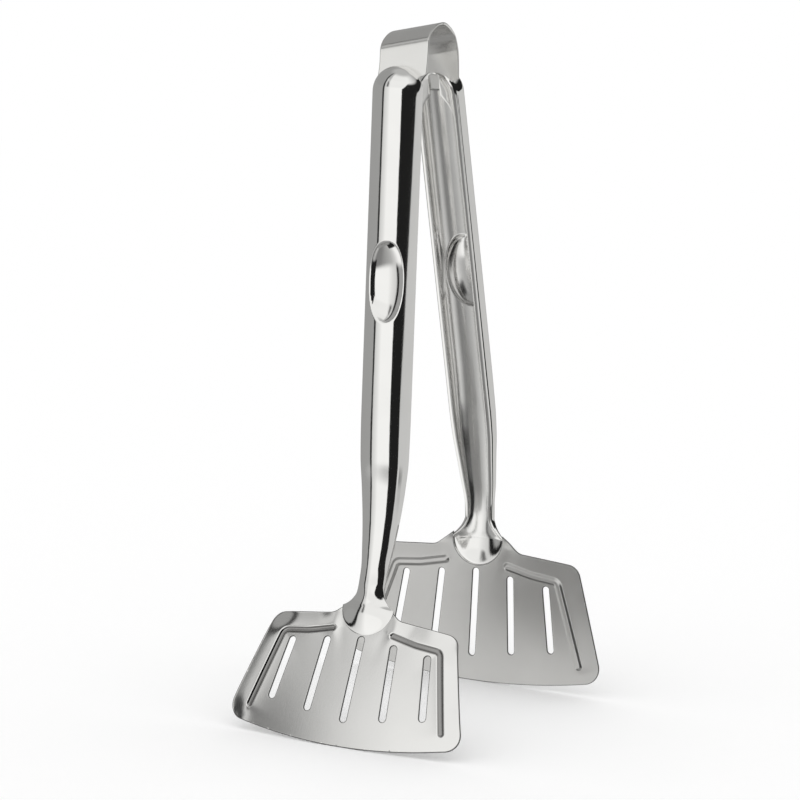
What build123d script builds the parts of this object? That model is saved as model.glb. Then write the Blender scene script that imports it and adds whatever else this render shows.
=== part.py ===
from build123d import *
import os
from math import atan2, cos, degrees, pi, radians, sin

os.makedirs("parts", exist_ok=True)

# Fish tongs: two pressed sheet-steel arms, each a C-section handle that ends in a slotted blade,
# held together by one strip of spring steel bent into a bow.
# Frame: origin at the bottom centre of the bounding box, X across the blades, Y the way the tongs
# open, Z up. The tongs stand on the blades' lower edges. Lengths in mm, angles in degrees.

# Whole tool
height = 300.0
front_lean = 0.3
back_lean = 18.4

# Steel bow: a strip with a narrower tongue at each end, held by the handle's folded lips
bow_radius = 15.5
bow_sheet = 1.0
bow_half_width = 11.2
bow_shoulder = 4.5
tongue_half_width = 7.4
tongue_length = 9.0
clamp_clearance = 0.08

# Arms: sheet, handle section, and how far down the bow's leg each handle begins
sheet = 1.0
handle_half_width = 10.7
handle_depth = 13.3
front_start = 0.5
back_start = 8.0
widest_share = 0.4
back_power = 5.0

# Handle stations: shares of the handle's length, half width of the front and of the back arm, depth,
# and mouth against half width
stations_share = [
    (0.0, 1.0, 1.0, 1.0, 0.24),
    (0.02, 1.0, 1.0, 1.0, 0.55),
    (0.045, 1.0, 1.0, 1.0, 0.75),
    (0.3, 1.0, 1.0, 1.0, 0.77),
    (0.62, 1.0, 1.0, 0.99, 0.77),
    (0.7, 0.98, 1.0, 0.95, 0.77),
    (0.76, 0.89, 0.97, 0.86, 0.76),
    (0.82, 0.775, 0.87, 0.74, 0.74),
    (0.88, 0.655, 0.765, 0.62, 0.72),
    (0.93, 0.56, 0.66, 0.51, 0.7),
    (0.955, 0.555, 0.66, 0.46, 0.7),
    (0.972, 0.61, 0.79, 0.42, 0.74),
    (0.987, 0.79, 1.03, 0.38, 0.8),
    (1.0, 1.12, 1.29, 0.335, 0.88),
]

# Thumb rest pressed into the crown of the handle
front_rest_distance = 90.0
back_rest_distance = 97.5
rest_half_width = 10.0
rest_half_length = 17.2
rest_half_depth = 6.2
rest_lift = 0.5

# Neck: the handle curves into the blade
front_bend = 25.5
back_bend = -20.0
front_neck_length = 64.0
back_neck_length = 25.0

# Blade, measured from the toe's centre: across (s) and down (u)
shoulder_root_s = 8.5
shoulder_root_u = -2.0
shoulder_start_s = 15.5
shoulder_start_u = 3.6
shoulder_s = 42.8
shoulder_u = 6.5
shoulder_round = 6.0
corner_s = 55.5
corner_u = 53.6
corner_round = 7.0
blade_length = 60.4
back_blade_share = 1.1
back_root_share = 1.35
back_flare_share = 1.07

# Slots: across and down places of the upper and lower tips, as shares of the blade's half width
# at its lower corners and of its length
slot_width = 3.1
slot_shares = [
    (0.0, 0.208, 0.0, 0.827),
    (0.281, 0.239, 0.322, 0.783),
    (0.572, 0.275, 0.644, 0.736),
]

# Pressed rib that follows the shoulder and the side of the blade, in the same shares
rib_width = 3.4
rib_height = 0.9
rib_groove_width = 1.8
rib_shares = [(0.255, 0.173), (0.46, 0.215), (0.665, 0.235), (0.814, 0.798)]

outline_points = 9


def low_side(x, half_width, low):
    """Depth of the flat back below the widest level, at x across."""
    return low * (1 - (x / half_width) ** back_power) ** (1 / back_power)


def half_outline(half_width, depth, mouth, inset):
    """Half of the handle's section, from the lip round the flank to the crown."""
    a = half_width - inset
    level = depth * widest_share
    low = level - inset
    high = depth - level - inset
    points = []
    for i in range(outline_points):
        x = mouth + (a - mouth) * sin(pi / 2 * i / outline_points)
        points.append((x, level - low_side(x, a, low)))
    for i in range(outline_points + 1):
        t = pi / 2 * i / outline_points
        points.append((a * cos(t), level + high * sin(t)))
    return points


def curve(plane, points, side):
    """Smooth line through the points of a half section, on one side of the plane's Y."""
    places = [plane.from_local_coords(Vector(side * x, n, 0)) for x, n in points]
    return Edge.make_spline(places, tangents=[places[1] - places[0], plane.x_dir * -side])


def line(plane, a, b, side):
    return Edge.make_line(*[plane.from_local_coords(Vector(side * x, n, 0)) for x, n in (a, b)])


def section(plane, half_width, depth, mouth):
    """Closed wire of the C-section on a plane."""
    outer = half_outline(half_width, depth, mouth, 0)
    inner = half_outline(half_width, depth, mouth, sheet)
    return Wire([
        curve(plane, outer, 1),
        curve(plane, outer, -1),
        line(plane, outer[0], inner[0], -1),
        curve(plane, inner, -1),
        curve(plane, inner, 1),
        line(plane, inner[0], outer[0], 1),
    ])


def end_cap(plane, half_width, depth, mouth, turn):
    """Rounded end: the half section turned half a circle about the handle's depth axis."""
    outer = half_outline(half_width, depth, mouth, 0)
    inner = half_outline(half_width, depth, mouth, sheet)
    wire = Wire([
        curve(plane, outer, 1),
        line(plane, outer[-1], inner[-1], 1),
        curve(plane, inner, 1),
        line(plane, inner[0], outer[0], 1),
    ])
    axis = Axis(plane.origin, plane.y_dir)
    return Solid.revolve(Face(wire), turn, axis)


class Path:
    """Line of the sheet's inner face seen from the side. The bow's centre is the origin, the arm
    goes down and out towards -Y, and distances run from the top of the handle's rounded end."""

    def __init__(self, lean, bend, neck_length, start, blade_share):
        self.lean = radians(lean)
        self.bend = radians(bend)
        self.blade_angle = self.lean + self.bend
        self.neck = neck_length
        reach = bow_radius - bow_sheet - clamp_clearance - sheet
        self.y0 = -reach * cos(self.lean) - start * sin(self.lean)
        self.z0 = reach * sin(self.lean) - start * cos(self.lean)
        floor = bow_radius - height
        blade_drop = blade_length * blade_share * cos(self.blade_angle)
        neck_drop = self.neck * (sin(self.blade_angle) - sin(self.lean)) / self.bend
        self.straight = (self.z0 - floor - blade_drop - neck_drop) / cos(self.lean)
        self.length = self.straight + self.neck

    def plane(self, u):
        """Plane across the arm at u: x across, y outwards."""
        on_line = min(u, self.straight)
        turned = max(u - self.straight, 0.0) / self.neck
        a = self.lean + self.bend * turned
        radius = self.neck / self.bend
        y = self.y0 - on_line * sin(self.lean) + radius * (cos(a) - cos(self.lean))
        z = self.z0 - on_line * cos(self.lean) - radius * (sin(a) - sin(self.lean))
        return Plane(origin=(0, y, z), x_dir=(1, 0, 0), z_dir=(0, -sin(a), -cos(a)))

    def blade_plane(self):
        """Plane of the blade's inner face: x across, y up the blade, z outwards."""
        a = self.blade_angle
        return Plane(origin=self.plane(self.length).origin, x_dir=(1, 0, 0), z_dir=(0, -cos(a), sin(a)))

    def handle_box(self, half_width, top, bottom, low, high):
        """Box in the straight handle, from top to bottom and from low to high outwards."""
        plane = self.plane(top)
        box = extrude(plane * Rectangle(2 * half_width, high - low), bottom - top)
        return box.moved(Location(plane.y_dir * (low + high) / 2))


def slot_bar(plane, ends, width, low, high):
    """Bar with round ends on the blade, between two points given as across and down."""
    (s1, u1), (s2, u2) = ends
    middle = ((s1 + s2) / 2, -(u1 + u2) / 2)
    length = ((s2 - s1) ** 2 + (u2 - u1) ** 2) ** 0.5
    angle = degrees(atan2(u1 - u2, s2 - s1))
    flat = Pos(*middle) * SlotCenterToCenter(length, width, rotation=angle)
    raised = Plane(origin=plane.origin + plane.z_dir * low, x_dir=plane.x_dir, z_dir=plane.z_dir)
    return extrude(raised * flat, high - low)


def mirrored(points):
    return [(-s, u) for s, u in points]


def blade(path, share, root, flare, toe_width):
    plane = path.blade_plane()
    k = share
    side = [
        (shoulder_root_s * root, shoulder_root_u * root),
        (shoulder_start_s * root, shoulder_start_u * root),
        (shoulder_s * k * flare, shoulder_u * k),
        (corner_s * k * flare, corner_u * k),
    ]
    right = [(s, -u) for s, u in side]
    left = [(-s, y) for s, y in reversed(right)]
    edges = [Line(a, b) for a, b in zip(right[:-1], right[1:])]
    edges.append(ThreePointArc(right[-1], (0, -blade_length * k), left[0]))
    edges += [Line(a, b) for a, b in zip(left[:-1], left[1:])]
    edges.append(Line(left[-1], right[0]))
    face = make_face(edges)
    for (s, u), radius in ((side[3], corner_round), (side[2], shoulder_round), (side[1], shoulder_round)):
        near = [v for v in face.vertices() if abs(abs(v.X) - s) < sheet / 10 and abs(v.Y + u) < sheet / 10]
        face = fillet(near, radius * k)
    plate = extrude(plane * face, sheet)
    plate -= extrude(plane * Circle(toe_width * stations_share[-1][4]), sheet)
    across, down = corner_s, blade_length
    for s1_share, u1_share, s2_share, u2_share in slot_shares:
        s1, u1, s2, u2 = s1_share * across, u1_share * down, s2_share * across, u2_share * down
        lean = atan2(s2 - s1, u2 - u1)
        end = (slot_width / 2 * sin(lean), slot_width / 2 * cos(lean))
        tips = [((s1 + end[0]) * k, (u1 + end[1]) * k), ((s2 - end[0]) * k, (u2 - end[1]) * k)]
        for ends in ([tips] if s1 == 0 else [tips, mirrored(tips)]):
            plate -= slot_bar(plane, ends, slot_width, 0, sheet)
    ribs = [(s * across * k, u * down * k) for s, u in rib_shares]
    ribs[-1] = (ribs[-1][0] * flare, ribs[-1][1])
    for points in (ribs, mirrored(ribs)):
        for ends in zip(points[:-1], points[1:]):
            plate += slot_bar(plane, ends, rib_width, -rib_height, 0)
    for points in (ribs, mirrored(ribs)):
        for ends in zip(points[:-1], points[1:]):
            plate -= slot_bar(plane, ends, rib_groove_width, sheet - rib_height, sheet)
    return plate


def thumb_rest(path, distance, grow):
    """Oval that presses the rest into the crown, grown by the sheet for its back."""
    plane = path.plane(distance)
    centre = plane.from_local_coords(Vector(0, handle_depth + rest_lift, 0))
    turn = Plane(origin=centre, x_dir=plane.x_dir, z_dir=plane.z_dir)
    ball = scale(Sphere(sheet), by=tuple((r + grow) / sheet for r in (
        rest_half_width, rest_half_depth, rest_half_length)))
    return turn.location * ball


def arm(lean, bend, neck_length, start, share, root, flare, rest_distance, side):
    path = Path(lean, bend, neck_length, start, share)
    top = handle_half_width
    run = path.length - top
    stations = [(row[0], row[side], row[3], row[4]) for row in stations_share]
    wires = []
    for along, wide, deep, mouth in stations:
        plane = path.plane(top + run * along)
        width = handle_half_width * wide
        wires.append(section(plane, width, handle_depth * deep, width * mouth))
    shell = Solid.make_loft(wires, ruled=True)
    first, last = stations[0], stations[-1]
    ends = ((top, first, 180), (path.length, last, -180))
    for u, (_, wide, deep, mouth), turn in ends:
        width = handle_half_width * wide
        shell += end_cap(path.plane(u), width, handle_depth * deep, width * mouth, turn)
    reach = rest_half_length + sheet
    keep = crown_block(path, rest_distance - reach, rest_distance + reach)
    shell += thumb_rest(path, rest_distance, sheet) & keep
    shell -= thumb_rest(path, rest_distance, 0)
    shell += blade(path, share, root, flare, handle_half_width * last[1])
    slot = bow_sheet + 2 * clamp_clearance
    shell -= path.handle_box(bow_half_width + clamp_clearance, -top, bow_shoulder + clamp_clearance,
                             sheet, sheet + slot)
    shell -= path.handle_box(tongue_half_width + clamp_clearance, bow_shoulder,
                             tongue_length + clamp_clearance, sheet, sheet + slot)
    return shell


def crown_block(path, top, bottom):
    """Solid filling of the handle between two stations, out to the middle of its sheet."""
    plane = path.plane(top)
    half = half_outline(handle_half_width, handle_depth, 0.0, sheet / 2)
    whole = half + [(-x, n) for x, n in reversed(half[1:-1])]
    spline = Edge.make_spline([plane.from_local_coords(Vector(x, n, 0)) for x, n in whole], periodic=True)
    return Solid.extrude(Face(Wire([spline])), plane.z_dir * (bottom - top))


def bow():
    """Strip of spring steel, bent round the origin, with a leg into each handle."""
    def leg(lean, side, radius, distance):
        a = radians(lean)
        return (side * (radius * cos(a) + distance * sin(a)), radius * sin(a) - distance * cos(a))

    def profile(extra):
        front_end = front_start + extra
        back_end = back_start + extra
        outer = bow_radius
        inner = bow_radius - bow_sheet
        front = [leg(front_lean, -1, r, d) for r, d in ((outer, front_end), (outer, 0), (inner, 0), (inner, front_end))]
        back = [leg(back_lean, 1, r, d) for r, d in ((outer, back_end), (outer, 0), (inner, 0), (inner, back_end))]
        return Plane.YZ * make_face([
            Line(front[0], front[1]), ThreePointArc(front[1], (0, outer), back[1]),
            Line(back[1], back[0]), Line(back[0], back[3]), Line(back[3], back[2]),
            ThreePointArc(back[2], (0, inner), front[2]), Line(front[2], front[3]), Line(front[3], front[0]),
        ])

    wide = extrude(profile(bow_shoulder), bow_half_width, both=True)
    tongues = extrude(profile(tongue_length), tongue_half_width, both=True)
    return wide + tongues


front_arm = arm(front_lean, front_bend, front_neck_length, front_start, 1.0, 1.0, 1.0,
                front_rest_distance, 1)
back_arm = arm(back_lean, back_bend, back_neck_length, back_start, back_blade_share, back_root_share,
               back_flare_share, back_rest_distance, 2)
back_arm = mirror(back_arm, about=Plane.XZ)
spring_strip = bow()

nodes = {"front_arm": front_arm, "back_arm": back_arm, "spring_strip": spring_strip}
boxes = [shape.bounding_box() for shape in nodes.values()]
middle = (min(b.min.Y for b in boxes) + max(b.max.Y for b in boxes)) / 2
low = min(b.min.Z for b in boxes)
for name, shape in nodes.items():
    placed = shape.moved(Location((0, -middle, -low)))
    placed.label = name
    export_step(placed, f"parts/{name}.step")
print("bow centre, from the origin:", -middle, -low)
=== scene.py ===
from math import atan2, ceil, cos, pi, radians, sin, sqrt

import bmesh
import bpy
import numpy as np
from mathutils import Matrix, Vector
from mathutils.geometry import delaunay_2d_cdt


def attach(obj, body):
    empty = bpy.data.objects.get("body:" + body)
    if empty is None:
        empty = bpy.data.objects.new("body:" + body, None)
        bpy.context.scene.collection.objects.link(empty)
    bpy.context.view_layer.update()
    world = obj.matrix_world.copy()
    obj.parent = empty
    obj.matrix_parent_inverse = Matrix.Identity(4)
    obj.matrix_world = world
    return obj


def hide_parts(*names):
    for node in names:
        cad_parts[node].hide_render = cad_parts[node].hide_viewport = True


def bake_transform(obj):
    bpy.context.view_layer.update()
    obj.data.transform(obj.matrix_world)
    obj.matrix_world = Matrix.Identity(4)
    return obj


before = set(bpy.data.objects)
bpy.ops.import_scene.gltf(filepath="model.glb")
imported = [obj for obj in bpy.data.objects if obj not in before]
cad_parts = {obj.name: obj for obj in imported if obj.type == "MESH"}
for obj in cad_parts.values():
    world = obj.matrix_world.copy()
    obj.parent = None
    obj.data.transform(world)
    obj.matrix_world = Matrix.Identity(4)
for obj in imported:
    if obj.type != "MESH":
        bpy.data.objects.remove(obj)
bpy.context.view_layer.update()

MM = 0.001

# Sizes of the CAD model, mm
BOW = np.array([0.0, -16.009, 284.528])                # centre of the bow
BOW_RADIUS, STRIP, SHEET, CLEARANCE = 15.5, 1.0, 1.0, 0.08
HALF_W, DEPTH = 10.7, 13.3                             # half width and depth of the handle
HEIGHT, BLADE = 300.0, 60.4                            # the whole object and the plate of a blade
CORNER = (55.5, 53.6)                                  # lower corner of the plate: across, down
SHOULDER = [(8.5, 2.0), (15.5, -3.6), (42.8, -6.5)]    # upper edge of the plate: across, up
SLOT_W = 3.1

# Places along the handle: share of the length, of the half width of the front and of the back arm, of the
# depth and of the mouth between the lips, and how far the section has turned into the bell of the toe
STATION_SHARES = [
    (0.0, 1.0, 1.0, 1.0, 0.24, 0), (0.02, 1.0, 1.0, 1.0, 0.55, 0), (0.045, 1.0, 1.0, 1.0, 0.75, 0),
    (0.3, 1.0, 1.0, 1.0, 0.77, 0), (0.62, 1.0, 1.0, 0.99, 0.77, 0), (0.7, 0.98, 1.0, 0.95, 0.77, 0),
    (0.76, 0.89, 0.97, 0.86, 0.76, 0), (0.82, 0.775, 0.87, 0.74, 0.74, 0),
    (0.88, 0.655, 0.765, 0.62, 0.72, 0), (0.93, 0.56, 0.66, 0.51, 0.7, 0),
    (0.955, 0.555, 0.66, 0.46, 0.7, 0), (0.972, 0.6, 0.78, 0.42, 0.74, 0.35),
    (0.987, 0.78, 1.0, 0.38, 0.8, 0.8), (0.995, 0.95, 1.17, 0.35, 0.86, 0.97),
    (1.0, 1.12, 1.29, 0.335, 0.9, 1.0)]
# Ends of the middle slot and of the two on its right, and corners of the right rib: shares of the corner's
# distance across and of the blade's length down
SLOT_SHARES = [(0.0, 0.208, 0.0, 0.827), (0.281, 0.239, 0.322, 0.783), (0.572, 0.275, 0.644, 0.736)]
RIB_SHARES = [(0.255, 0.173), (0.46, 0.215), (0.665, 0.235), (0.814, 0.798)]

# Section of the handle
LEVEL_SHARE = 0.4                        # height of its widest place, as a share of the depth
FOOT_POWER = 5                           # how square its lower corners are
LEAST_FOOT, LIP_MARGIN = 0.05, 0.15
TOE_BASE, TOE_BASE_LOSS = 1.25, 0.15     # height of the bell's foot, and how much lower it is inside
LIP_BULGE_SHARE = 0.7
HALF_GAP = 2.5                           # the lips keep this distance from the middle at the domed top
TOP_MOUTH_SHARE, LEAST_COSINE = 0.86, 0.05
LOW_N, HIGH_N, LIP_N, CAP_N = 9, 26, 5, 44
WELD = 2e-6                              # metres

# Thumb rest, and the spacing of the handle's sections above it, over it and below it
REST_W, REST_L, REST_UP = 10.0, 17.2, 0.5
REST_REACH, REST_RIM_RISE, REST_BLEND = 4.0, 12.0, 0.45
REST_MARGIN, TOE_ZONE, TOE_SECTIONS = 5.0, 20.0, 44
ABOVE_STEP, REST_STEP, BELOW_STEP = 2.0, 0.5, 1.6

# Outline of the plate and its rounded edge
SHOULDER_ROUND, CORNER_ROUND, CORNER_FREE = 6.0, 7.0, 7.2
OUTLINE_STEP, SLOT_STEP, SLOT_END_N = 0.6, 0.4, 13
EDGE_ROUND, EDGE_TURNS, EDGE_LAP = 0.3, [0.0, 0.3, 0.62, 1.0], 0.08
ROUND_N, ARC_N, OPENING_N = 10, 60, 50
BESIDE_CORNER = 3                        # number of the point of the bottom arc that a corner's round aims at
LEAST_STEP, SAME_PLACE, LEAST_POINTS = 0.05, 1e-6, 8

# Ribs: rounding of their two bends, half width and depth on each face, where the slope starts
RIB_BOW, RIB_ROUND = 30.0, 3.0
RIB_BOW_N, RIB_ROUND_N = 6, 8
RIB_FORM = {"inner": (2.05, 0.9), "outer": (1.6, 0.8)}
RIB_SLOPE_SHARE = 0.3
# Half width, and reach past a rib's ends, of the groove faces that get painted shade or a painted highlight
GROOVE_HALF, GROOVE_PAST = 1.35, 0.9

# Spacing of the plate's points: the grid, the lines beside a rib and the rows beside the edges
GRID, RIB_FREE, RIB_STEP, RIB_FAN = 0.9, 3.2, 0.5, 11
RIB_LINES = (0.3, 0.6, 0.85, 1.1, 1.35, 1.6, 1.85, 2.1, 2.4, 2.8)
EDGE_FREE, HOLE_FREE, EDGE_ROW, HOLE_ROW = 0.8, 0.7, 0.45, -0.35
FAR_OFF, NOT_ZERO, SIDE_OF_ZERO, MERGE = 1e9, 1e-12, 1e-9, 1e-5

# Dishing of the plate: the flange outside a rib, the sag at a rib, the turned corners, the bow of the whole
# plate (rise and half span across and along, and how far from the toe it begins and is full) and the
# swelling beside the toe
FLANGE, FLANGE_FROM, FLANGE_PAST, FLANGE_TOE = 0.025, 1.8, 7.0, 9.0
SAG, SAG_REACH, SAG_PAST, SAG_FROM, SAG_TO = -0.25, 4.5, 5.0, 2.0, 12.0
TURNED, TURNED_REACH = 1.0, 6.5
BOW_ACROSS, BOW_ALONG, BOW_TOE = (0.75, 50.0), (0.45, 28.0), (0.5, 12.0)
SWELL, SWELL_SIZE, SWELL_UP, SWELL_DROP, SWELL_START = 0.75, [3.6, 1.9], 0.6, 2.2, 1.2

# Strip: tongues in the handles, half widths of the bow and of a tongue, and the line of the bend as seen
# from the side, from the front leg to the back one
TONGUE, TONGUE_SHOULDER, TONGUE_STEP_HALF = 9.0, 4.5, 0.6
BOW_HALF_W, TONGUE_HALF_W = 11.2, 7.4
STRIP_ROUND, STRIP_ROUND_ANGLES = 0.3, (0.5, 1.05)
STRIP_ACROSS = [-1, -0.985, -0.7, -0.35, 0, 0.35, 0.7, 0.985, 1]
FRONT_LEG_TOP, BACK_LEG_TOP = -7.2, 0.5
FRONT_LEG_N, BACK_LEG_N, BEND_N = 30, 20, 9
BEND = [(-14.75, 8.6), (-14.0, 10.2), (-12.2, 12.0), (-8.3, 14.1), (-3.6, 15.2), (1.2, 15.1), (6.6, 13.0),
        (11.3, 9.6)]
SLANT, SLANT_SHIFT, SLANT_FROM, SLANT_TO = 0.2, 0.9, -10.0, 4.0


def pchip(xs, ys, x):
    """Value at x of a smooth line through the points, with no overshoot."""
    xs, ys = np.array(xs, float), np.array(ys, float)
    h = np.diff(xs)
    d = np.diff(ys) / h
    m = np.zeros_like(ys)
    m[0], m[-1] = d[0], d[-1]
    for i in range(1, len(xs) - 1):
        if d[i - 1] * d[i] > 0:
            w1, w2 = 2 * h[i] + h[i - 1], h[i] + 2 * h[i - 1]
            m[i] = (w1 + w2) / (w1 / d[i - 1] + w2 / d[i])
    i = np.clip(np.searchsorted(xs, x) - 1, 0, len(xs) - 2)
    t = (x - xs[i]) / h[i]
    return ((1 + 2 * t) * (1 - t) ** 2 * ys[i] + t * (1 - t) ** 2 * h[i] * m[i]
            + t * t * (3 - 2 * t) * ys[i + 1] + t * t * (t - 1) * h[i] * m[i + 1])


def smooth(a, b, x):
    """0 up to a, 1 from b on, smooth between."""
    t = np.clip((x - a) / (b - a), 0, 1)
    return t * t * (3 - 2 * t)


class Arm:
    """One arm in its own frame: the bow's centre is the origin, the arm goes down and out to -Y.

    lean and bend are the angles of the handle and of the neck, neck is the neck's length and start is how far
    below the bow's centre the handle begins. share is the size of the blade, root and flare widen its upper
    and its lower end, and warp is how much the plate is dished. rest, rest_x and rest_depth give the thumb
    rest's place along and across and its depth. side is -1 for the front arm and 1 for the back one."""

    def __init__(self, side, lean, bend, neck, start, share, root, flare, warp, rest, rest_x, rest_depth):
        self.side, self.lean, self.bend, self.neck = side, radians(lean), radians(bend), neck
        self.start, self.share, self.root, self.flare, self.warp = start, share, root, flare, warp
        self.rest, self.rest_x, self.rest_depth = rest, rest_x, rest_depth
        reach = BOW_RADIUS - STRIP - CLEARANCE - SHEET
        self.y0 = -reach * cos(self.lean) - start * sin(self.lean)
        self.z0 = reach * sin(self.lean) - start * cos(self.lean)
        ground = BOW_RADIUS - HEIGHT
        blade_angle = self.lean + self.bend
        drop = BLADE * share * cos(blade_angle)
        neck_drop = neck * (sin(blade_angle) - sin(self.lean)) / self.bend
        self.straight = (self.z0 - ground - drop - neck_drop) / cos(self.lean)
        self.length = self.straight + neck

    def plane(self, u):
        """Origin and the directions outward and down the arm at the distance u."""
        on_line = min(u, self.straight)
        turned = max(u - self.straight, 0.0) / self.neck
        a = self.lean + self.bend * turned
        radius = self.neck / self.bend
        y = self.y0 - on_line * sin(self.lean) + radius * (cos(a) - cos(self.lean))
        z = self.z0 - on_line * cos(self.lean) - radius * (sin(a) - sin(self.lean))
        return np.array([0, y, z]), np.array([0, -cos(a), sin(a)]), np.array([0, -sin(a), -cos(a)])

    def world(self, p):
        """From the arm's frame, in mm, to the scene in metres."""
        p = np.array(p, float)
        if self.side > 0:
            p = p * [1, -1, 1]
        return (p + BOW) * MM

    def station(self, along):
        """Shares of the half width, the depth and the mouth, and the bell, at a share of the length."""
        xs = [row[0] for row in STATION_SHARES]
        columns = (1 if self.side < 0 else 2, 3, 4, 5)
        return [float(pchip(xs, [row[c] for row in STATION_SHARES], along)) for c in columns]


FRONT = Arm(side=-1, lean=0.3, bend=25.5, neck=64.0, start=0.5, share=1.0, root=1.0, flare=1.0, warp=1.0,
            rest=90.0, rest_x=2.0, rest_depth=4.9)
BACK = Arm(side=1, lean=18.4, bend=-20.0, neck=25.0, start=8.0, share=1.1, root=1.35, flare=1.07, warp=0.2,
           rest=97.5, rest_x=0.6, rest_depth=6.2)


def make_mesh(name, verts, faces, weld=0.0):
    """Smooth-shaded object from points in metres; points nearer than weld are joined."""
    mesh = bpy.data.meshes.new(name)
    mesh.from_pydata([tuple(v) for v in verts], [], faces)
    mesh.validate()
    obj = bpy.data.objects.new(name, mesh)
    bpy.context.scene.collection.objects.link(obj)
    bm = bmesh.new()
    bm.from_mesh(mesh)
    if weld:
        bmesh.ops.remove_doubles(bm, verts=bm.verts, dist=weld)
    bmesh.ops.recalc_face_normals(bm, faces=bm.faces)
    bm.to_mesh(mesh)
    bm.free()
    mesh.polygons.foreach_set("use_smooth", [True] * len(mesh.polygons))
    mesh.update()
    return obj


def half_section(half_width, depth, mouth, inset, bell):
    """Half of the C-section from the lip round the flank to the crown; bell flattens its foot."""
    a = half_width - inset
    level = depth * LEVEL_SHARE * (1 - bell) + (TOE_BASE - TOE_BASE_LOSS * inset) * bell
    low, high = max(level - inset, LEAST_FOOT), depth - level - inset
    mouth = min(mouth, a - LIP_MARGIN)
    points = []
    for i in range(LOW_N):
        x = mouth + (a - mouth) * sin(pi / 2 * i / LOW_N)
        points.append((x, level - low * (1 - (x / a) ** FOOT_POWER) ** (1 / FOOT_POWER)))
    for i in range(HIGH_N + 1):
        t = pi / 2 * i / HIGH_N
        points.append((a * cos(t), level + high * (sin(t) * (1 - bell) + sin(t) ** 3 * bell)))
    return np.array(points)


def lip_round(a, b):
    """Rounded sheet edge from point a to point b, bulging towards the mouth."""
    centre, half = (a + b) / 2, (a - b) / 2
    out = np.array([-1.0, 0.0]) * np.linalg.norm(half) * LIP_BULGE_SHARE
    return [centre + half * cos(pi * k / LIP_N) + out * sin(pi * k / LIP_N) for k in range(1, LIP_N)]


def pressed(arm, x, n, u, depth, half_width):
    """How far the thumb rest moves a point of the crown; negative is inwards."""
    level = depth * LEVEL_SHARE
    if n <= level or abs(u - arm.rest) > REST_L + REST_REACH:
        return 0.0
    crown = level + (depth - level) * sqrt(max(0.0, 1 - (x / half_width) ** 2))
    q = ((x - arm.rest_x) / REST_W) ** 2 + ((u - arm.rest) / REST_L) ** 2
    if q < 1:
        dish = DEPTH + REST_UP - arm.rest_depth * sqrt(1 - q)
    else:
        dish = DEPTH + REST_UP + (q - 1) * REST_RIM_RISE
    h = max(REST_BLEND - abs(crown - dish), 0.0) / REST_BLEND
    lower = min(crown, dish) - h * h * REST_BLEND / 4
    return lower - crown


def ring(arm, u, wide, deep, mouth, bell):
    """Closed loop round the sheet of the C-section: outer face, lip, inner face, lip."""
    origin, out, _ = arm.plane(u)
    half_width, depth = HALF_W * wide, DEPTH * deep
    outer = half_section(half_width, depth, half_width * mouth, 0, bell)
    inner = half_section(half_width, depth, half_width * mouth, SHEET, bell)
    loop = list(outer) + [(-x, n) for x, n in outer[-2::-1]]
    loop += [(-x, n) for x, n in lip_round(outer[0], inner[0])] + [(-x, n) for x, n in inner]
    loop += list(inner[-2::-1]) + lip_round(inner[0], outer[0])
    verts = []
    for x, n in loop:
        moved = n + pressed(arm, min(max(x, -half_width), half_width), n, u, depth, half_width)
        verts.append(arm.world(origin + out * moved + np.array([x, 0, 0])))
    return verts


def cap(arm, u, wide, deep, mouth, bell, downwards):
    """Rounded end: the half section turned half a circle about the depth axis. At the top the lips
    stay apart, so that the strip shows between them."""
    origin, out, down = arm.plane(u)
    half_width, depth = HALF_W * wide, DEPTH * deep
    sign = 1 if downwards else -1
    verts, faces = [], []
    for j in range(CAP_N + 1):
        t = pi * j / CAP_N
        half_mouth = half_width * mouth
        if not downwards:
            apart = HALF_GAP / max(abs(cos(t)), LEAST_COSINE)
            half_mouth = min(max(half_mouth, apart), half_width * TOP_MOUTH_SHARE)
        outer = half_section(half_width, depth, half_mouth, 0, bell)
        inner = half_section(half_width, depth, half_mouth, SHEET, bell)
        line = list(outer[::-1]) + lip_round(outer[0], inner[0]) + list(inner)
        for r, n in line:
            point = origin + out * n + np.array([r * cos(t), 0, 0]) + down * sign * r * sin(t)
            verts.append(arm.world(point))
    k = len(line)
    for j in range(CAP_N):
        for i in range(k - 1):
            faces.append((j * k + i, j * k + i + 1, (j + 1) * k + i + 1, (j + 1) * k + i))
    return verts, faces


def handle(arm, name):
    """Handle with its neck, domed top and toe, and the numbers of the faces on its inside."""
    rest_top, rest_foot = arm.rest - REST_L - REST_MARGIN, arm.rest + REST_L + REST_MARGIN
    toe_top = arm.length - TOE_ZONE
    us = list(np.arange(HALF_W, rest_top, ABOVE_STEP)) + list(np.arange(rest_top, rest_foot, REST_STEP))
    us += list(np.arange(rest_foot, toe_top, BELOW_STEP))
    us += list(np.linspace(toe_top, arm.length, TOE_SECTIONS))
    verts, faces, inner_faces = [], [], []
    for u in us:
        verts += ring(arm, u, *arm.station((u - HALF_W) / (arm.length - HALF_W)))
    k = len(verts) // len(us)
    # the polished inside starts at the middle of one lip and ends just before the other
    lip = LIP_N - 1
    first_inner, end_inner = 2 * (LOW_N + HIGH_N) + 1 + lip // 2, k - lip - lip // 2
    for j in range(len(us) - 1):
        for i in range(k):
            a, b = j * k + i, j * k + (i + 1) % k
            if first_inner <= i < end_inner:
                inner_faces.append(len(faces))
            faces.append((a, b, b + k, a + k))
    for u, along, downwards in ((HALF_W, 0.0, False), (arm.length, 1.0, True)):
        base = len(verts)
        cap_verts, cap_faces = cap(arm, u, *arm.station(along), downwards)
        verts += cap_verts
        faces += [tuple(base + q for q in face) for face in cap_faces]
    return make_mesh(name, verts, faces, weld=WELD), inner_faces


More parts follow.
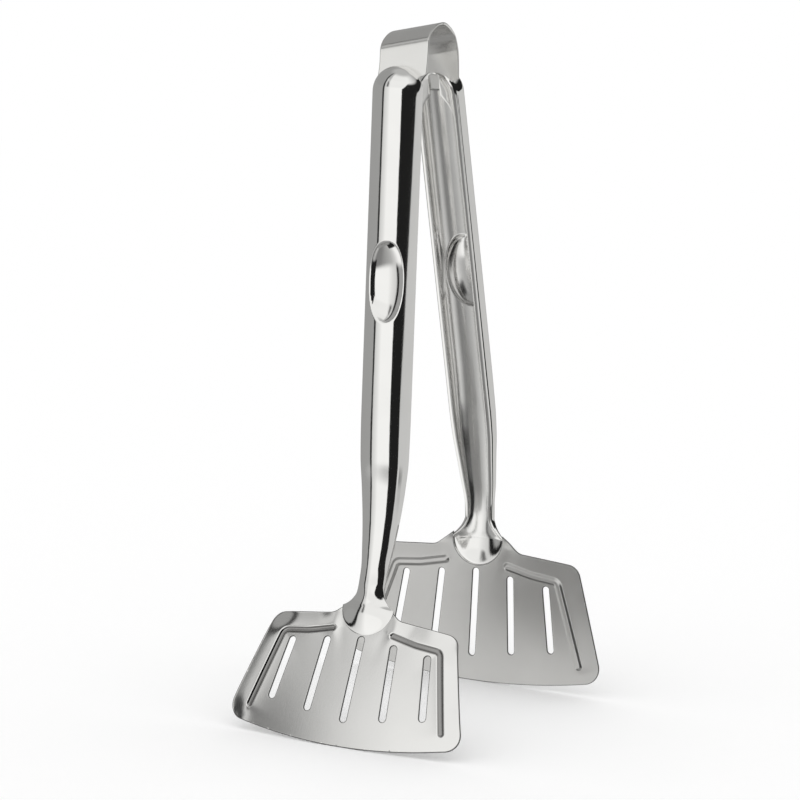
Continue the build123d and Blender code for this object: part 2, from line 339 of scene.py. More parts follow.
def round_corner(a, b, c, radius, steps=ROUND_N):
    """Points of an arc that rounds the corner b between a and c."""
    a, b, c = map(np.array, (a, b, c))
    p, q = (a - b) / np.linalg.norm(a - b), (c - b) / np.linalg.norm(c - b)
    half = np.arccos(np.clip(p @ q, -1, 1)) / 2
    t = radius / np.tan(half)
    centre = b + (p + q) / np.linalg.norm(p + q) * radius / np.sin(half)
    s, e = b + p * t - centre, b + q * t - centre
    turn = np.arctan2(s[0] * e[1] - s[1] * e[0], s @ e)
    return [centre + np.array([s[0] * cos(turn * i / steps) - s[1] * sin(turn * i / steps),
                               s[0] * sin(turn * i / steps) + s[1] * cos(turn * i / steps)])
            for i in range(steps + 1)]


def resample(points, gap, closed=True):
    """Points at even distances, about gap apart, along a line or a closed loop."""
    line = np.array(points + [points[0]] if closed else points, float)
    gaps = np.linalg.norm(np.diff(line, axis=0), axis=1)
    line = line[np.concatenate([[True], gaps > SAME_PLACE])]
    gaps = np.linalg.norm(np.diff(line, axis=0), axis=1)
    s = np.concatenate([[0], np.cumsum(gaps)])
    count = max(LEAST_POINTS, int(ceil(s[-1] / gap)))
    even = np.linspace(0, s[-1], count + 1)
    res = np.stack([np.interp(even, s, line[:, 0]), np.interp(even, s, line[:, 1])], 1)
    return res[:-1] if closed else res


def offset_loop(loop, distance):
    """Closed loop moved to its left by the distance."""
    t = np.roll(loop, -1, 0) - np.roll(loop, 1, 0)
    t /= np.linalg.norm(t, axis=1)[:, None]
    return loop + np.stack([-t[:, 1], t[:, 0]], 1) * distance


def inside(points, loop):
    """Which points lie inside a closed loop."""
    x, y = points[:, 0][:, None], points[:, 1][:, None]
    x1, y1 = loop[:, 0][None], loop[:, 1][None]
    x2, y2 = np.roll(loop[:, 0], -1)[None], np.roll(loop[:, 1], -1)[None]
    cross = ((y1 > y) != (y2 > y)) & (x < (x2 - x1) * (y - y1) / (y2 - y1 + NOT_ZERO) + x1)
    return cross.sum(1) % 2 == 1


def line_distance(points, line):
    """Distance of points from a line of straight pieces."""
    best = np.full(len(points), FAR_OFF)
    for a, b in zip(line[:-1], line[1:]):
        d = b - a
        t = np.clip(((points - a) @ d) / (d @ d), 0, 1)
        best = np.minimum(best, np.linalg.norm(points - a - t[:, None] * d, axis=1))
    return best


def loop_distance(points, loop):
    """Distance of points from a closed loop."""
    return line_distance(points, np.vstack([loop, loop[:1]]))


def rib_frame(p, line):
    """Signed distance of points from a rib (positive outside it) and how far past its ends they lie."""
    best, past = np.full(len(p), FAR_OFF), np.zeros(len(p))
    for i, (a, b) in enumerate(zip(line[:-1], line[1:])):
        d = b - a
        length = np.linalg.norm(d)
        d = d / length
        t = (p - a) @ d
        q = p - a - np.clip(t, 0, length)[:, None] * d
        distance = np.linalg.norm(q, axis=1)
        side = np.sign(q[:, 1] * d[0] - q[:, 0] * d[1] + SIDE_OF_ZERO)
        near = distance < abs(best)
        best = np.where(near, distance * side, best)
        over = np.zeros(len(p))
        if i == 0:
            over = np.maximum(-t, 0)
        if i == len(line) - 2:
            over = np.maximum(over, t - length)
        past = np.where(near, over, past)
    return best, past


def blade_outline(arm, toe_mouth):
    """Outline of the plate in (across, up), with the toe's opening cut out of it."""
    k = arm.share
    shoulder = (SHOULDER[2][0] * k * arm.flare, SHOULDER[2][1] * k)
    corner = (CORNER[0] * k * arm.flare, -CORNER[1] * k)
    length = BLADE * k
    sag = length - CORNER[1] * k
    radius = (corner[0] ** 2 + sag * sag) / (2 * sag)
    centre = -length + radius
    arc = []
    for t in np.linspace(0, 1, ARC_N):
        x = corner[0] * (1 - 2 * t)
        arc.append((x, centre - sqrt(radius * radius - x * x)))
    root, start = [np.array(p) * arm.root for p in SHOULDER[:2]]
    right = round_corner(root, start, shoulder, SHOULDER_ROUND * k)
    right += round_corner(start, shoulder, corner, SHOULDER_ROUND * k)
    right += round_corner(shoulder, corner, arc[BESIDE_CORNER], CORNER_ROUND * k)
    bottom = [np.array(p) for p in arc if abs(p[0]) < corner[0] - CORNER_FREE * k]
    # where the line from the root to the shoulder leaves the toe's opening
    d = start - root
    a, b, c = d @ d, root @ d, root @ root - toe_mouth ** 2
    edge = root + d * (-b + sqrt(b * b - a * c)) / a
    angle = atan2(edge[1], edge[0])
    right_side = [edge] + [p for p in right if p[0] > edge[0] + LEAST_STEP]
    left_side = [np.array([-p[0], p[1]]) for p in reversed(right_side)]
    opening = [np.array([toe_mouth * cos(t), toe_mouth * sin(t)])
               for t in np.linspace(pi - angle, 2 * pi + angle, OPENING_N)[1:-1]]
    return right_side + bottom + left_side + opening


def slot_loops(k):
    """Outlines of the five slots, counter-clockwise, for a blade of the share k."""
    r = SLOT_W / 2
    loops = []
    for s1, u1, s2, u2 in SLOT_SHARES:
        a = np.array([s1 * CORNER[0], -u1 * BLADE]) * k
        b = np.array([s2 * CORNER[0], -u2 * BLADE]) * k
        for sign in ((1,) if s1 == 0 else (1, -1)):
            p, q = a * [sign, 1], b * [sign, 1]
            d = (q - p) / np.linalg.norm(q - p)
            base = atan2(d[1], d[0])
            loop = []
            for centre, first in ((q - d * SLOT_W / 2, -pi / 2), (p + d * SLOT_W / 2, pi / 2)):
                for t in np.linspace(first, first + pi, SLOT_END_N):
                    loop.append(centre + r * np.array([cos(base + t), sin(base + t)]))
            loops.append(loop)
    return loops


def rib_lines(arm):
    """Middle lines of the right and the left rib."""
    k = arm.share
    ribs = []
    for sign in (1, -1):
        line = np.array([(s * CORNER[0] * k * sign, -u * BLADE * k) for s, u in RIB_SHARES])
        line[-1][0] *= arm.flare
        points = [line[0]] + round_corner(line[0], line[1], line[2], RIB_BOW, RIB_BOW_N)
        points += round_corner(line[1], line[2], line[3], RIB_ROUND, RIB_ROUND_N) + [line[3]]
        ribs.append(np.array(points))
    return ribs


def plate_points(outline, flat, ribs):
    """Points inside the plate: a grid, lines along the ribs, fans round their ends and a row beside
    each edge."""
    lo, hi = outline.min(0), outline.max(0)
    points = np.array([(x, y) for x in np.arange(lo[0], hi[0], GRID) for y in np.arange(lo[1], hi[1], GRID)])
    points = points[np.minimum(*[line_distance(points, rib) for rib in ribs]) > RIB_FREE]
    for rib in ribs:
        path = resample([tuple(p) for p in rib], RIB_STEP, closed=False)
        t = np.gradient(path, axis=0)
        t /= np.linalg.norm(t, axis=1)[:, None]
        side = np.stack([-t[:, 1], t[:, 0]], 1)
        for d in [-q for q in RIB_LINES[::-1]] + [0] + list(RIB_LINES):
            points = np.concatenate([points, path + side * d])
        for end, away in ((path[0], -t[0]), (path[-1], t[-1])):
            base = atan2(away[1], away[0])
            for d in RIB_LINES:
                fan = [end + d * np.array([cos(base + a), sin(base + a)])
                       for a in np.linspace(-pi / 2, pi / 2, RIB_FAN)[1:-1]]
                points = np.concatenate([points, fan])
    keep = inside(points, flat[0]) & (loop_distance(points, flat[0]) > EDGE_FREE)
    for hole in flat[1:]:
        keep &= ~inside(points, hole) & (loop_distance(points, hole) > HOLE_FREE)
    points = points[keep]
    for number, loop in enumerate(flat):
        row = offset_loop(loop, EDGE_ROW if number == 0 else HOLE_ROW)
        points = np.concatenate([points, (row + np.roll(row, -1, 0)) / 2])
    return points


def triangulate(flat, points):
    """Triangles between the outline and the slots, and the number that each given point got."""
    given, edges = [], []
    for loop in flat:
        first = len(given)
        given += [Vector(p) for p in loop]
        edges += [(first + i, first + (i + 1) % len(loop)) for i in range(len(loop))]
    given += [Vector(p) for p in points]
    found, _, faces, sources, _, _ = delaunay_2d_cdt(given, edges, [], 0, MERGE)
    co = np.array([(v[0], v[1]) for v in found])
    tris = np.array(faces)
    middles = co[tris].mean(1)
    keep = inside(middles, flat[0])
    for hole in flat[1:]:
        keep &= ~inside(middles, hole)
    index = {old: new for new, olds in enumerate(sources) for old in olds}
    return co, tris[keep], index


def plate_height(arm, ribs, toe, toe_mouth, p, face):
    """Outward displacement of points of the plate's inner or outer face."""
    k = arm.share
    half, depth = RIB_FORM[face]
    height = np.zeros(len(p))
    for rib, sign in zip(ribs, (1, -1)):
        d, past = rib_frame(p, rib)
        outward = d * sign
        along_flange = 1 - smooth(0, FLANGE_PAST, past)
        along_sag = 1 - smooth(0, SAG_PAST, past)
        height -= depth * (1 - smooth(RIB_SLOPE_SHARE, 1.0, abs(d) / half))
        height -= (FLANGE * np.maximum(outward - FLANGE_FROM, 0) * along_flange
                   * smooth(0, FLANGE_TOE, abs(p[:, 0]) - toe))
        height -= SAG * np.exp(-np.maximum(-outward, 0) / SAG_REACH) * (outward < 0) * along_sag
        height -= SAG * (outward >= 0) * along_sag * (1 - smooth(SAG_FROM, SAG_TO, outward))
        for across, up in (SHOULDER[2], (CORNER[0], -CORNER[1])):
            gap = (p - [sign * (across * arm.flare) * k, up * k]) / TURNED_REACH
            height -= arm.warp * TURNED * np.exp(-(gap ** 2).sum(1))
    r = np.hypot(p[:, 0], p[:, 1])
    from_middle = (-p[:, 1] / k - BOW_ALONG[1]) / BOW_ALONG[1]
    bow = arm.warp * (BOW_ACROSS[0] * (p[:, 0] / BOW_ACROSS[1]) ** 2 + BOW_ALONG[0] * from_middle ** 2)
    height -= bow * smooth(toe + BOW_TOE[0], toe + BOW_TOE[1], r)
    for sign in (1, -1):
        place = [sign * (toe + SWELL_SIZE[0]), SWELL_UP - SWELL_DROP * (arm.root - 1)]
        q = (p - place) / SWELL_SIZE
        height += SWELL * np.exp(-(q ** 2).sum(1)) * smooth(0, SWELL_START, r - toe_mouth)
    return height


def blade(arm, name):
    """Plate of an arm, and the numbers of its inner faces, its cut edges and the faces of its grooves, which
    get painted shade or a painted highlight.
    """
    wide, _, mouth, _ = arm.station(1.0)
    toe, toe_mouth = HALF_W * wide, HALF_W * wide * mouth
    outline = resample(blade_outline(arm, toe_mouth), OUTLINE_STEP)
    following = np.roll(outline, -1, 0)
    if np.sum(outline[:, 0] * following[:, 1] - outline[:, 1] * following[:, 0]) < 0:
        outline = outline[::-1]
    holes = [resample(loop, SLOT_STEP) for loop in slot_loops(arm.share)]
    insets = [EDGE_ROUND * (1 - cos(pi / 2 * t)) for t in EDGE_TURNS] + [EDGE_ROUND + EDGE_LAP]
    loops = [[offset_loop(outline, inset) for inset in insets]]
    loops += [[offset_loop(hole, -inset) for inset in insets] for hole in holes]
    flat = [rings[-1] for rings in loops]
    ribs = rib_lines(arm)
    co, tris, index = triangulate(flat, plate_points(outline, flat, ribs))
    origin, out, down = arm.plane(arm.length)

    def height(p, face):
        return plate_height(arm, ribs, toe, toe_mouth, p, face)

    def place(p, ns):
        return [arm.world(origin + out * n - down * q[1] + np.array([q[0], 0, 0])) for q, n in zip(p, ns)]

    verts = place(co, SHEET + height(co, "outer"))
    faces = [tuple(t) for t in tris]
    painted_groove_faces, cut_faces = [], []
    # groove faces: they get painted shade on the front blade and a painted highlight on the back one
    for rib in ribs:
        d, past = rib_frame(co[tris].mean(1), rib)
        painted_groove_faces += [int(i) for i in np.nonzero((abs(d) < GROOVE_HALF) & (past < GROOVE_PAST))[0]]
    inner = len(verts)
    verts += place(co, height(co, "inner"))
    faces += [tuple(inner + q for q in t[::-1]) for t in tris]
    inner_faces = range(len(tris), 2 * len(tris))
    offset = 0
    for rings in loops:
        count = len(rings[0])
        top = [index[offset + i] for i in range(count)]
        lift = height(rings[-1], "outer") * 0.5 + height(rings[-1], "inner") * 0.5
        rows = [top]
        levels = [EDGE_ROUND * (1 - sin(pi / 2 * t)) for t in EDGE_TURNS]
        upper = [(edge_ring, SHEET - level) for level, edge_ring in zip(levels, rings[:-1])]
        lower = [(edge_ring, level) for level, edge_ring in zip(levels, rings[:-1])]
        for edge_ring, level in upper[::-1] + lower:
            rows.append(list(range(len(verts), len(verts) + count)))
            verts += place(edge_ring, level + lift)
        rows.append([inner + q for q in top])
        for number, (r1, r2) in enumerate(zip(rows[:-1], rows[1:])):
            for i in range(count):
                j = (i + 1) % count
                if 1 <= number < len(rows) - 2:
                    cut_faces.append(len(faces))
                faces.append((r1[i], r1[j], r2[j], r2[i]))
        offset += count
    return make_mesh(name, verts, faces), inner_faces, cut_faces, painted_groove_faces


def strip_path():
    """Middle line of the strip, in (y, z), from the end of the front tongue over the bow to the back one."""
    r = BOW_RADIUS - STRIP / 2
    a0, a1 = FRONT.lean, BACK.lean
    front = [(-(r * cos(a0) + d * sin(a0)), r * sin(a0) - d * cos(a0))
             for d in np.linspace(FRONT.start + TONGUE, FRONT_LEG_TOP, FRONT_LEG_N)]
    back = [(r * cos(a1) + d * sin(a1), r * sin(a1) - d * cos(a1))
            for d in np.linspace(BACK_LEG_TOP, BACK.start + TONGUE, BACK_LEG_N)]
    knots = [front[-2], front[-1]] + BEND + [back[0], back[1]]
    points = list(front)
    for a, b, c, d in zip(knots[:-3], knots[1:-2], knots[2:-1], knots[3:]):
        a, b, c, d = map(np.array, (a, b, c, d))
        for t in np.linspace(0, 1, BEND_N)[1:]:
            points.append(tuple(0.5 * (2 * b + (c - a) * t + (2 * a - 5 * b + 4 * c - d) * t * t
                                       + (3 * b - a - 3 * c + d) * t ** 3)))
    return np.array(points + back[1:])


def strip_widths(path):
    """Half width of the strip at each point of its path."""
    lengths = np.concatenate([[0], np.cumsum(np.linalg.norm(np.diff(path, axis=0), axis=1))])
    widths = []
    for s in lengths:
        below_shoulder = TONGUE - min(s, lengths[-1] - s) - TONGUE_SHOULDER
        t = min(max((below_shoulder + TONGUE_STEP_HALF) / (2 * TONGUE_STEP_HALF), 0.0), 1.0)
        widths.append(BOW_HALF_W + (TONGUE_HALF_W - BOW_HALF_W) * t * t * (3 - 2 * t))
    return widths


def strip_section(w):
    """Loop round the strip with its rounded edges, for the half width w."""
    r, flat_w, half = STRIP_ROUND, w - STRIP_ROUND, STRIP / 2
    right = [(flat_w + r * sin(a), half - r + r * cos(a)) for a in STRIP_ROUND_ANGLES]
    right += [(x, -n) for x, n in right[::-1]]
    right[2:2] = [(w, half - r), (w, -half + r)]
    top = [(q * flat_w, half) for q in STRIP_ACROSS]
    bottom = [(q * flat_w, -half) for q in STRIP_ACROSS[::-1]]
    return top + right + bottom + [(-x, n) for x, n in right[::-1]]


def strip_half(name, first, last, path, widths):
    """The strip from one point of the path to another; its bow slants a little."""
    t = np.gradient(path, axis=0)
    t /= np.linalg.norm(t, axis=1)[:, None]
    normal = np.stack([-t[:, 1], t[:, 0]], 1)
    verts, faces = [], []
    for i in range(first, last + 1):
        section = strip_section(widths[i])
        for x, n in section:
            y, z = path[i] + normal[i] * n
            slant = float(smooth(SLANT_FROM, SLANT_TO, z))
            verts.append((BOW + np.array([x + SLANT_SHIFT * slant, y, z + SLANT * x * slant])) * MM)
    k = len(section)
    for j in range(last - first):
        for i in range(k):
            a, b = j * k + i, j * k + (i + 1) % k
            faces.append((a, b, b + k, a + k))
    faces.append(tuple(range(k))[::-1])
    faces.append(tuple(range((last - first) * k, (last - first + 1) * k)))
    return make_mesh(name, verts, faces)


def nodes_of(material):
    """Emptied node tree of a material: its nodes and links."""
    material.use_nodes = True
    tree = material.node_tree
    tree.nodes.clear()
    return tree.nodes, tree.links


# Noises of the steel: detail and roughness of the fine one, scale and detail of the soft one, the range of
# the soft one over which the colour drifts, its share where it is darkest, and the bump's height in metres
FINE_DETAIL, FINE_ROUGHNESS = 6.0, 0.6
SOFT_SCALE, SOFT_DETAIL, SOFT_RANGE = 38.0, 3.0, (0.3, 0.7)
DARKEST_SHARE, BUMP_HEIGHT = 0.95, 0.0004


def steel(name, colour, rough, spread, grain, scale, bump, metal=1.0):
    """Steel: roughness and fine bump follow a stretched noise, the colour drifts a little."""
    material = bpy.data.materials.new(name)
    n, l = nodes_of(material)
    out = n.new("ShaderNodeOutputMaterial")
    shader = n.new("ShaderNodeBsdfPrincipled")
    shader.inputs["Metallic"].default_value = metal
    coords = n.new("ShaderNodeTexCoord")
    place = n.new("ShaderNodeMapping")
    place.inputs["Scale"].default_value = grain
    l.new(coords.outputs["Object"], place.inputs["Vector"])
    fine = n.new("ShaderNodeTexNoise")
    fine.inputs["Scale"].default_value = scale
    fine.inputs["Detail"].default_value = FINE_DETAIL
    fine.inputs["Roughness"].default_value = FINE_ROUGHNESS
    l.new(place.outputs["Vector"], fine.inputs["Vector"])
    soft = n.new("ShaderNodeTexNoise")
    soft.inputs["Scale"].default_value = SOFT_SCALE
    soft.inputs["Detail"].default_value = SOFT_DETAIL
    l.new(coords.outputs["Object"], soft.inputs["Vector"])
    rough_range = n.new("ShaderNodeMapRange")
    rough_range.inputs["To Min"].default_value = rough - spread
    rough_range.inputs["To Max"].default_value = rough + spread
    l.new(fine.outputs["Fac"], rough_range.inputs["Value"])
    l.new(rough_range.outputs["Result"], shader.inputs["Roughness"])
    tint = n.new("ShaderNodeValToRGB")
    darkest, full = tint.color_ramp.elements
    darkest.position, full.position = SOFT_RANGE
    darkest.color = (*[c * DARKEST_SHARE for c in colour], 1)
    full.color = (*colour, 1)
    l.new(soft.outputs["Fac"], tint.inputs["Fac"])
    l.new(tint.outputs["Color"], shader.inputs["Base Color"])
    small = n.new("ShaderNodeBump")
    small.inputs["Strength"].default_value = bump
    small.inputs["Distance"].default_value = BUMP_HEIGHT
    l.new(fine.outputs["Fac"], small.inputs["Height"])
    l.new(small.outputs["Normal"], shader.inputs["Normal"])
    l.new(shader.outputs["BSDF"], out.inputs["Surface"])
    return material


# Grain of the noise along the axes, and its scale on the polished, the satin and the spring steel
POLISHED_GRAIN, SATIN_GRAIN, SPRING_GRAIN, NO_GRAIN = (1, 1, 0.06), (1, 1, 0.12), (0.12, 1, 1), (1, 1, 1)
POLISHED_SCALE, SATIN_SCALE, SPRING_SCALE = 900.0, 1400.0, 1200.0

polished = steel("polished_steel", (0.9, 0.895, 0.885), 0.07, 0.03, POLISHED_GRAIN, POLISHED_SCALE, 0.03)
satin = {"front": steel("bright_satin_steel", (0.88, 0.875, 0.865), 0.12, 0.015, SATIN_GRAIN, SATIN_SCALE,
                        0.01),
         "back": steel("satin_steel", (0.86, 0.855, 0.845), 0.24, 0.04, SATIN_GRAIN, SATIN_SCALE, 0.05)}
inner_polished = steel("inner_polished_steel", (0.95, 0.945, 0.935), 0.18, 0.02, POLISHED_GRAIN,
                       POLISHED_SCALE, 0.01)
# Rib grooves: painted shade on the front blade (a dark tone), painted highlight on the back blade (a bright,
# partly diffuse tone)
groove_shade_and_highlight = {"front": steel("groove_painted_shade", (0.36, 0.355, 0.35), 0.16, 0.02, SATIN_GRAIN, SATIN_SCALE, 0.01),
          "back": steel("groove_painted_highlight", (0.97, 0.968, 0.96), 0.2, 0.03, SATIN_GRAIN, SATIN_SCALE, 0.01,
                        metal=0.35)}
spring = steel("spring_steel", (0.84, 0.835, 0.82), 0.2, 0.04, SPRING_GRAIN, SPRING_SCALE, 0.05)
inner_satin = steel("inner_satin_steel", (0.66, 0.655, 0.645), 0.3, 0.05, SATIN_GRAIN, SATIN_SCALE, 0.05)
cut_edge = steel("cut_edge_steel", (0.2, 0.198, 0.195), 0.34, 0.05, NO_GRAIN, SATIN_SCALE, 0.05)


def paint(piece, materials):
    """Give a piece its materials, each with the numbers of the faces that wear it.

    The first one is worn by all the other faces."""
    for number, (material, faces) in enumerate(materials):
        piece.data.materials.append(material)
        for i in faces:
            piece.data.polygons[i].material_index = number


for arm, body in ((FRONT, "front"), (BACK, "back")):
    shell, inside_faces = handle(arm, body + "_handle")
    paint(shell, [(polished, []), (inner_polished, inside_faces)])
    plate, inner_faces, cut_faces, painted_groove_faces = blade(arm, body + "_blade")
    # the grooves wear painted shade on the front blade and a painted highlight on the back one
    paint(plate, [(satin[body], []), (inner_satin, inner_faces), (cut_edge, cut_faces),
                  (groove_shade_and_highlight[body], painted_groove_faces)])
    for piece in (shell, plate):
        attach(piece, body)
        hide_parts(body + "_arm")

path = strip_path()
crest = int(np.argmax(path[:, 1]))
widths = strip_widths(path)
for body, first, last, side in (("front", 0, crest, -1), ("back", crest, len(path) - 1, 1)):
    piece = strip_half("spring_" + body, first, last, path, widths)
    piece.data.materials.append(spring)
    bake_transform(piece)
    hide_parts("spring_strip")

# Camera of the photo: angles in degrees, lengths in metres, focal length and middle in pixels
AZIMUTH, DIP, ROLL = radians(25.497), radians(8.715), radians(-2.02)
DISTANCE, AIM = 1.22524, Vector((0, -0.0176, 0.1411))
PICTURE, FOCAL, MIDDLE = 800, 2851.93, (403.94, 399.88)
SENSOR = 36.0
NEAREST, FARTHEST = 0.05, 30.0

ahead = Vector((-sin(AZIMUTH) * cos(DIP), cos(AZIMUTH) * cos(DIP), -sin(DIP)))
level = Vector((cos(AZIMUTH), sin(AZIMUTH), 0))
below_level = ahead.cross(level)
to_right = cos(ROLL) * level + sin(ROLL) * below_level
to_bottom = -sin(ROLL) * level + cos(ROLL) * below_level
camera = bpy.data.cameras.new("photo_camera")
camera.sensor_width = SENSOR
camera.lens = FOCAL / PICTURE * SENSOR
camera.shift_x = (PICTURE / 2 - MIDDLE[0]) / PICTURE
camera.shift_y = (MIDDLE[1] - PICTURE / 2) / PICTURE
camera.clip_start, camera.clip_end = NEAREST, FARTHEST
eye = bpy.data.objects.new("photo_camera", camera)
bpy.context.scene.collection.objects.link(eye)
turn = Matrix((to_right, -to_bottom, -ahead)).transposed().to_4x4()
eye.matrix_world = Matrix.Translation(AIM - DISTANCE * ahead) @ turn
bpy.context.scene.camera = eye

# Studio: what the steel mirrors is a surround of grey tones by direction; the camera sees white
bpy.context.scene.view_settings.view_transform = "Standard"
world = bpy.data.worlds.new("studio")
bpy.context.scene.world = world
world.use_nodes = True
world.cycles.sampling_method = "NONE"
n, l = world.node_tree.nodes, world.node_tree.links
n.clear()
WHITE = (1, 1, 1, 1)
BLUE_SHARE = 0.985                       # a grey tone has a little less blue than red and green
BLACK, PANEL_END_TONE, OVERHEAD_TONE, UNDERFOOT_TONE = 0.015, 0.6, 0.5, 0.3


def connect(value, socket):
    """Set a socket to a number, or link it to another socket."""
    if isinstance(value, (int, float, tuple)):
        socket.default_value = value
    else:
        l.new(value, socket)


def calc(operation, a, b=0.0):
    """Result of a math node."""
    node = n.new("ShaderNodeMath")
    node.operation = operation
    connect(a, node.inputs[0])
    connect(b, node.inputs[1])
    return node.outputs[0]


def ramp(value, stops):
    """Grey tones along 0..1; stops are (position, sRGB level)."""
    node = n.new("ShaderNodeValToRGB")
    elements = node.color_ramp.elements
    while len(elements) > 1:
        elements.remove(elements[-1])
    for i, (position, grey) in enumerate(stops):
        element = elements[0] if i == 0 else elements.new(position)
        element.position = position
        linear = grey / 12.92 if grey <= 0.04045 else ((grey + 0.055) / 1.055) ** 2.4
        element.color = (linear, linear, linear * BLUE_SHARE, 1)
    l.new(value, node.inputs["Fac"])
    return node.outputs["Color"]


def rise(value, low, high):
    """0 at low, 1 at high, smooth between."""
    node = n.new("ShaderNodeMapRange")
    node.interpolation_type = "SMOOTHSTEP"
    node.inputs["From Min"].default_value = low
    node.inputs["From Max"].default_value = high
    l.new(value, node.inputs["Value"])
    return node.outputs["Result"]


def mix(share, a, b):
    """Colour a where the share is 0 and b where it is 1; a number is a grey tone."""
    node = n.new("ShaderNodeMixRGB")
    l.new(share, node.inputs[0])
    for i, value in ((1, a), (2, b)):
        if isinstance(value, float):
            value = (value, value, value * BLUE_SHARE, 1)
        connect(value, node.inputs[i])
    return node.outputs[0]


def both(*masks):
    """Product of masks."""
    product = masks[0]
    for mask in masks[1:]:
        product = calc("MULTIPLY", product, mask)
    return product


def at(degrees):
    """Position on a ramp of a direction in degrees, 0 towards -Y and positive towards +X."""
    return degrees / 360 + 0.5


coords = n.new("ShaderNodeTexCoord")
split = n.new("ShaderNodeSeparateXYZ")
l.new(coords.outputs["Generated"], split.inputs[0])
dir_x, dir_y, dir_z = split.outputs
az_deg = calc("MULTIPLY", calc("ARCTAN2", dir_x, calc("MULTIPLY", dir_y, -1.0)), 180 / pi)
el_deg = calc("MULTIPLY", calc("ARCSINE", dir_z), 180 / pi)
az = calc("ADD", calc("DIVIDE", az_deg, 360.0), 0.5)

# Tones of the surround by direction, from level with the object up to high above it, and below it
side = ramp(az, [(0.0, 0.62), (at(-51.5), 0.64), (at(-50.5), 0.1), (at(-44.5), 0.1), (at(-43), 0.84),
                 (at(-30), 0.92), (at(-20), 1.0), (1.0, 1.0)])
middle = ramp(az, [(0.0, 0.62), (at(-51.5), 0.62), (at(-50), 0.1), (at(-44.5), 0.1), (at(-43), 0.84),
                   (at(-38), 0.82), (at(-35.5), 0.42), (at(-31.5), 0.46), (at(-28.5), 0.84), (at(-25), 0.97),
                   (at(50), 0.96), (at(100), 0.8), (1.0, 0.62)])
upper = ramp(az, [(0.0, 0.62), (at(-51.5), 0.62), (at(-50), 0.12), (at(-45), 0.12), (at(-43.5), 0.86),
                  (at(-38), 0.84), (at(-34.5), 0.74), (at(-31.5), 0.78), (at(-29), 0.9), (at(-26), 0.97),
                  (at(60), 0.97), (at(100), 0.85), (at(140), 0.66), (1.0, 0.62)])
high = ramp(az, [(0.0, 0.62), (at(-51.5), 0.62), (at(-50), 0.12), (at(-45), 0.12), (at(-43.5), 0.7),
                 (at(-32), 0.72), (at(-26), 0.95), (at(60), 0.97), (at(100), 0.85), (at(140), 0.66),
                 (1.0, 0.62)])
below = ramp(az, [(0.0, 1.0), (at(-60), 1.0), (at(-45), 0.85), (at(-30), 0.72), (at(-10), 0.62),
                  (at(5), 0.52), (at(30), 0.5), (at(55), 0.85), (at(78), 0.9), (at(84), 0.08),
                  (at(112), 0.08), (at(122), 0.8), (1.0, 1.0)])

# Directions in degrees between which one tone passes into the next. The dark panel on the right has a left, a
# right, an upper and a lower edge; its left edge leans above a height, and its right one above another. The
# step from middle to upper leans too, between two directions and about a third.
MIDDLE_FROM, UPPER_FROM, HIGH_FROM, OVERHEAD_FROM = (11.0, 16.0), (26.6, 29.4), (36.0, 41.0), (54.0, 74.0)
BELOW_FROM, UNDERFOOT_FROM = (-15.0, -22.0), (-58.0, -66.0)
PANEL_LEFT, PANEL_RIGHT, PANEL_TOP, PANEL_FOOT = (21.5, 23.2), (123.0, 119.0), (36.0, 24.0), (-33.0, -27.0)
LEFT_LEAN, LEFT_LEAN_ABOVE, RIGHT_LEAN, RIGHT_LEAN_ABOVE = 1.4, 9.0, 6.0, -8.5
STEP_LEAN, STEP_FROM, STEP_TO, STEP_ABOUT = 0.9, -37.0, -27.0, -32.0
LOW_DARK_FROM, LOW_DARK_RIGHT = (-42.5, -46.0), (-32.0, -35.0)

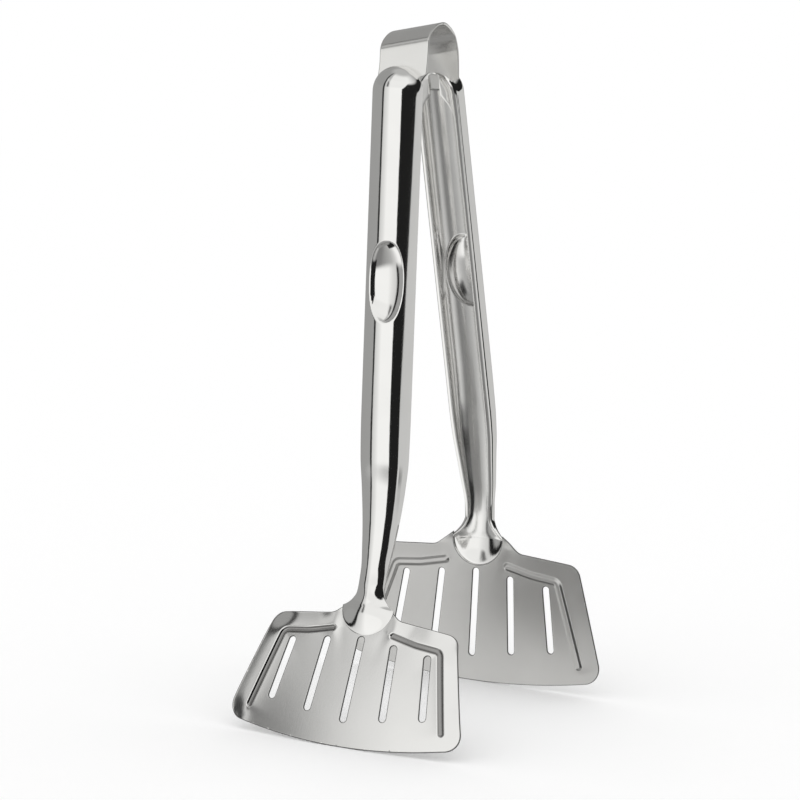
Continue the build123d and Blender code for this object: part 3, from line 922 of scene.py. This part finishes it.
raised = calc("MAXIMUM", calc("SUBTRACT", el_deg, LEFT_LEAN_ABOVE), 0.0)
left_edge = calc("SUBTRACT", az_deg, calc("MULTIPLY", raised, LEFT_LEAN))
right_edge = calc("SUBTRACT", az_deg, calc("MULTIPLY", calc("MAXIMUM", el_deg, RIGHT_LEAN_ABOVE), RIGHT_LEAN))
panel = both(rise(left_edge, *PANEL_LEFT), rise(right_edge, *PANEL_RIGHT), rise(el_deg, *PANEL_TOP),
             rise(el_deg, *PANEL_FOOT))
near_step = calc("MINIMUM", calc("MAXIMUM", az_deg, STEP_FROM), STEP_TO)
step_height = calc("ADD", el_deg, calc("MULTIPLY", calc("SUBTRACT", near_step, STEP_ABOUT), STEP_LEAN))
low_dark = both(rise(el_deg, *LOW_DARK_FROM), rise(az_deg, *LOW_DARK_RIGHT))

room = mix(rise(right_edge, *PANEL_RIGHT[::-1]), side, PANEL_END_TONE)
room = mix(rise(el_deg, *MIDDLE_FROM), room, middle)
room = mix(rise(step_height, *UPPER_FROM), room, upper)
room = mix(rise(el_deg, *HIGH_FROM), room, high)
room = mix(rise(el_deg, *OVERHEAD_FROM), room, OVERHEAD_TONE)
room = mix(rise(el_deg, *BELOW_FROM), room, below)
room = mix(panel, room, BLACK)
room = mix(low_dark, room, BLACK)
room = mix(rise(el_deg, *UNDERFOOT_FROM), room, UNDERFOOT_TONE)
rays = n.new("ShaderNodeLightPath")
seen = mix(rays.outputs["Is Glossy Ray"], WHITE, room)
seen = mix(rays.outputs["Is Camera Ray"], seen, WHITE)
background = n.new("ShaderNodeBackground")
l.new(seen, background.inputs["Color"])
world_out = n.new("ShaderNodeOutputWorld")
l.new(background.outputs[0], world_out.inputs["Surface"])

# Pale floor, which the steel doesn't mirror
FLOOR = 3.0
floor_mesh = bpy.data.meshes.new("floor")
floor_mesh.from_pydata([(-FLOOR, -FLOOR, 0), (FLOOR, -FLOOR, 0), (FLOOR, FLOOR, 0), (-FLOOR, FLOOR, 0)], [],
                       [(0, 1, 2, 3)])
floor = bpy.data.objects.new("floor", floor_mesh)
bpy.context.scene.collection.objects.link(floor)
pale = bpy.data.materials.new("pale_floor")
floor_nodes, floor_links = nodes_of(pale)
floor_out = floor_nodes.new("ShaderNodeOutputMaterial")
chalk = floor_nodes.new("ShaderNodeBsdfDiffuse")
chalk.inputs["Color"].default_value = WHITE
clear = floor_nodes.new("ShaderNodeBsdfTransparent")
paths = floor_nodes.new("ShaderNodeLightPath")
choose = floor_nodes.new("ShaderNodeMixShader")
floor_links.new(paths.outputs["Is Glossy Ray"], choose.inputs[0])
floor_links.new(chalk.outputs[0], choose.inputs[1])
floor_links.new(clear.outputs[0], choose.inputs[2])
floor_links.new(choose.outputs[0], floor_out.inputs["Surface"])
floor_mesh.materials.append(pale)
